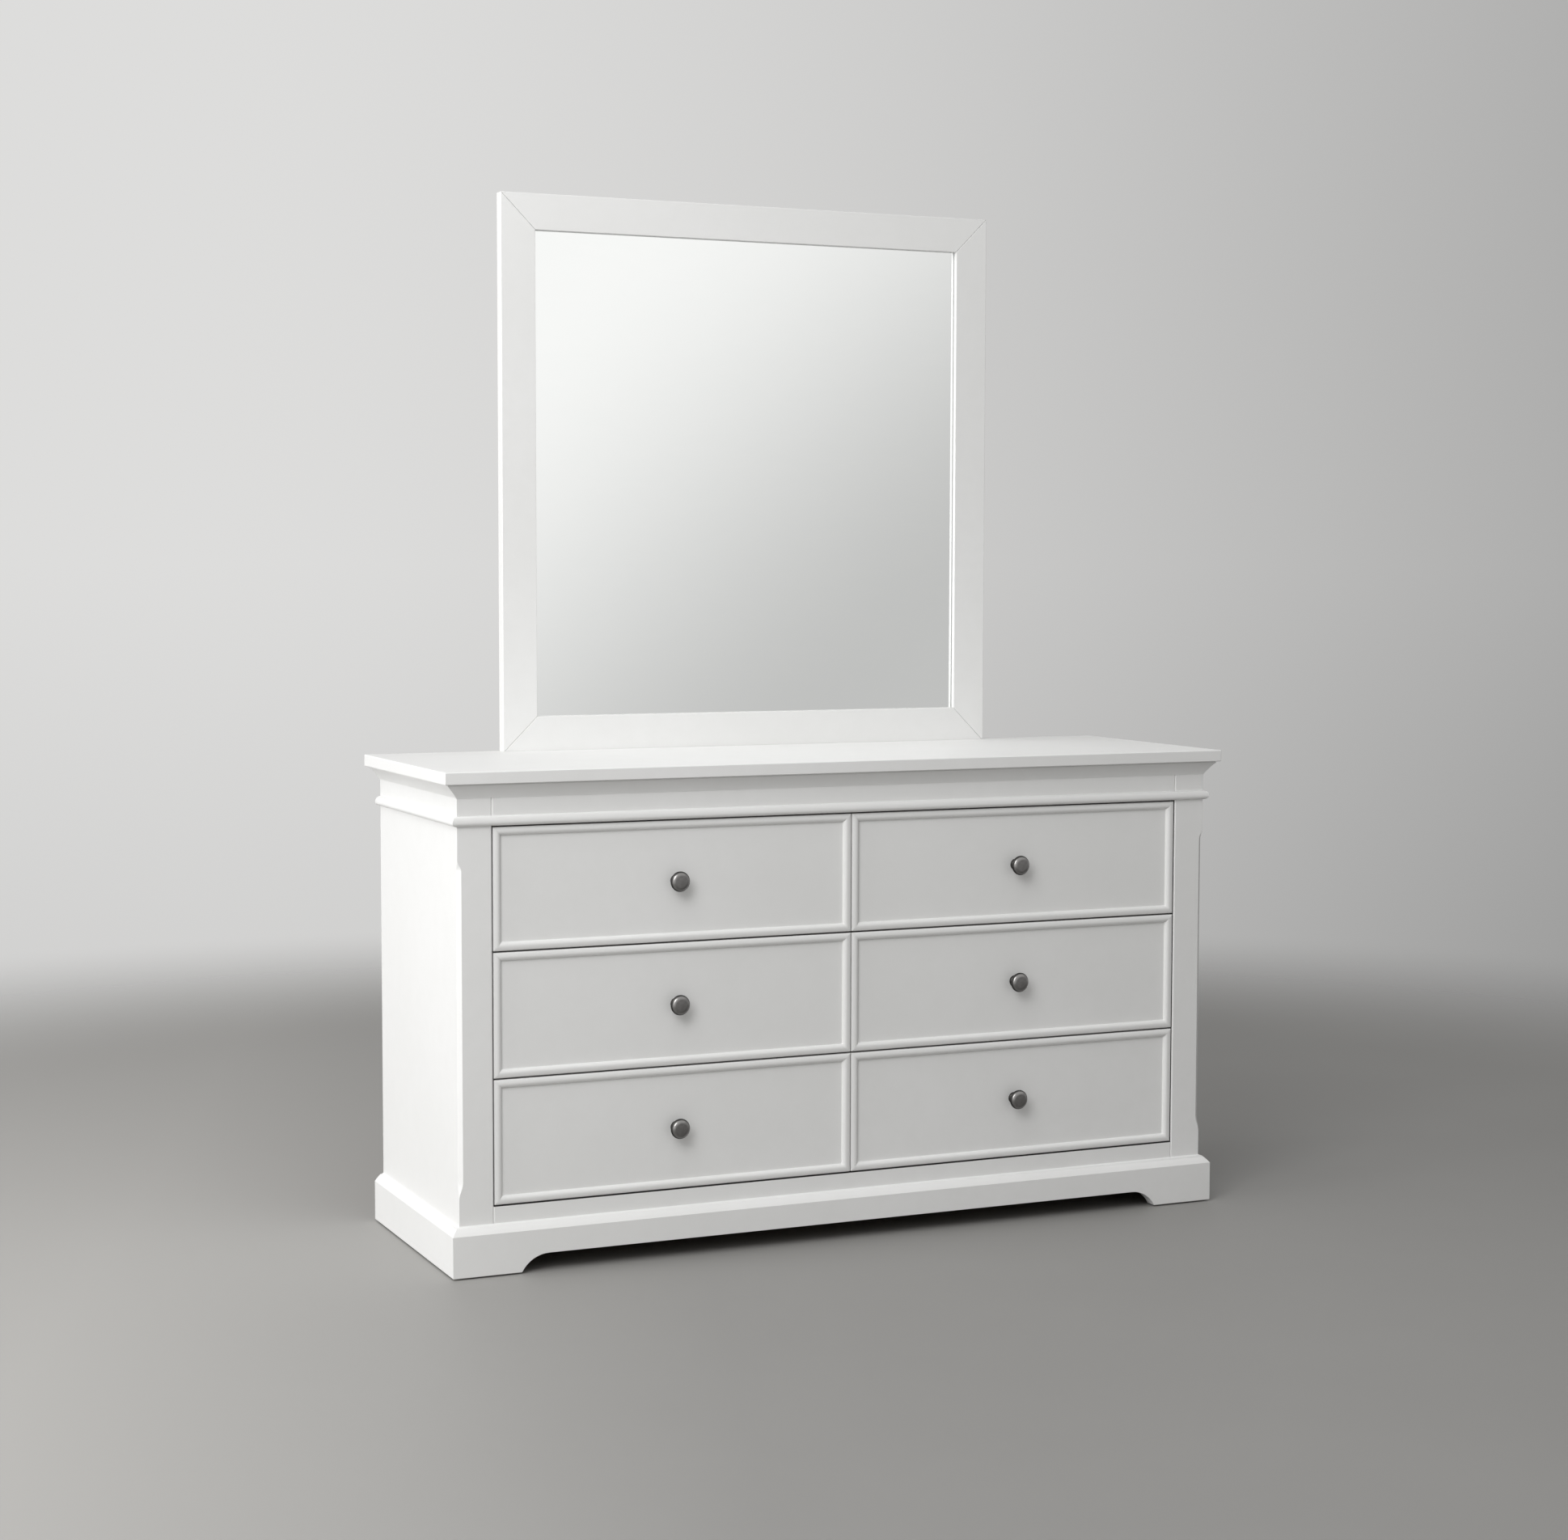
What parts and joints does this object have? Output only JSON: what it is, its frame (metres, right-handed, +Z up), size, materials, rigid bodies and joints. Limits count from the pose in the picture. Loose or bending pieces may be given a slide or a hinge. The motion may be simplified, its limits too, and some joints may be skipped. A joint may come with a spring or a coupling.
{
  "type": "dresser with mirror",
  "caption": "White painted dresser with inset beaded drawers on wooden runners, a moulded top and plinth, and a flat-framed mirror fixed upright at the back of the top.",
  "frame": {"origin": "on the floor, at the middle of the footprint of the whole object's bounding box", "axes": "+Z up; the drawers face -Y and open towards it; +X is to the right as one stands before the drawers"},
  "size_m": [1.5, 0.504, 1.86],
  "materials": {
    "white_paint": "satin white paint",
    "bare_wood": "sanded, unfinished",
    "backing_board": "smooth board",
    "mirror_glass": "polished",
    "glide_pad": "matt",
    "knob_metal": "dark pewter, satin"
  },
  "bodies": {
    "carcass": {"top_board": "white_paint", "crown_moulding": "white_paint", "bead_moulding": "white_paint", "frieze_rail": "white_paint", "bottom_rail": "white_paint", "front_post_left": "white_paint", "front_post_right": "white_paint", "side_panel_left": "white_paint", "side_panel_right": "white_paint", "centre_partition": "bare_wood", "back_panel": "backing_board", "back_rails": "bare_wood", "web_rails": "bare_wood", "drawer_runners": "bare_wood", "drawer_guides": "bare_wood", "plinth_front": "white_paint", "plinth_left": "white_paint", "plinth_right": "white_paint", "plinth_back": "white_paint", "glue_blocks": "bare_wood", "floor_glides": "glide_pad", "mirror_stile_left": "white_paint", "mirror_stile_right": "white_paint", "mirror_rail_top": "white_paint", "mirror_rail_bottom": "white_paint", "mirror_glass": "mirror_glass", "mirror_backboard": "backing_board", "backboard_fillets": "bare_wood", "mirror_supports": "white_paint"},
    "drawer_top_left": {"drawer_top_left_box": "bare_wood", "drawer_top_left_bottom": "backing_board", "drawer_top_left_front": "white_paint", "drawer_top_left_bead": "white_paint", "drawer_top_left_knob": "knob_metal"},
    "drawer_top_right": {"drawer_top_right_box": "bare_wood", "drawer_top_right_bottom": "backing_board", "drawer_top_right_front": "white_paint", "drawer_top_right_bead": "white_paint", "drawer_top_right_knob": "knob_metal"},
    "drawer_middle_left": {"drawer_middle_left_box": "bare_wood", "drawer_middle_left_bottom": "backing_board", "drawer_middle_left_front": "white_paint", "drawer_middle_left_bead": "white_paint", "drawer_middle_left_knob": "knob_metal"},
    "drawer_middle_right": {"drawer_middle_right_box": "bare_wood", "drawer_middle_right_bottom": "backing_board", "drawer_middle_right_front": "white_paint", "drawer_middle_right_bead": "white_paint", "drawer_middle_right_knob": "knob_metal"},
    "drawer_bottom_left": {"drawer_bottom_left_box": "bare_wood", "drawer_bottom_left_bottom": "backing_board", "drawer_bottom_left_front": "white_paint", "drawer_bottom_left_bead": "white_paint", "drawer_bottom_left_knob": "knob_metal"},
    "drawer_bottom_right": {"drawer_bottom_right_box": "bare_wood", "drawer_bottom_right_bottom": "backing_board", "drawer_bottom_right_front": "white_paint", "drawer_bottom_right_bead": "white_paint", "drawer_bottom_right_knob": "knob_metal"}
  },
  "joints": [
    {"name": "drawer_top_left_slide", "type": "slide", "parent": "carcass", "child": "drawer_top_left", "axis": [0, -1, 0], "range_m": [0, 0.3372]},
    {"name": "drawer_top_right_slide", "type": "slide", "parent": "carcass", "child": "drawer_top_right", "axis": [0, -1, 0], "range_m": [0, 0.3372]},
    {"name": "drawer_middle_left_slide", "type": "slide", "parent": "carcass", "child": "drawer_middle_left", "axis": [0, -1, 0], "range_m": [0, 0.3372]},
    {"name": "drawer_middle_right_slide", "type": "slide", "parent": "carcass", "child": "drawer_middle_right", "axis": [0, -1, 0], "range_m": [0, 0.3372]},
    {"name": "drawer_bottom_left_slide", "type": "slide", "parent": "carcass", "child": "drawer_bottom_left", "axis": [0, -1, 0], "range_m": [0, 0.3372]},
    {"name": "drawer_bottom_right_slide", "type": "slide", "parent": "carcass", "child": "drawer_bottom_right", "axis": [0, -1, 0], "range_m": [0, 0.3372]}
  ]
}
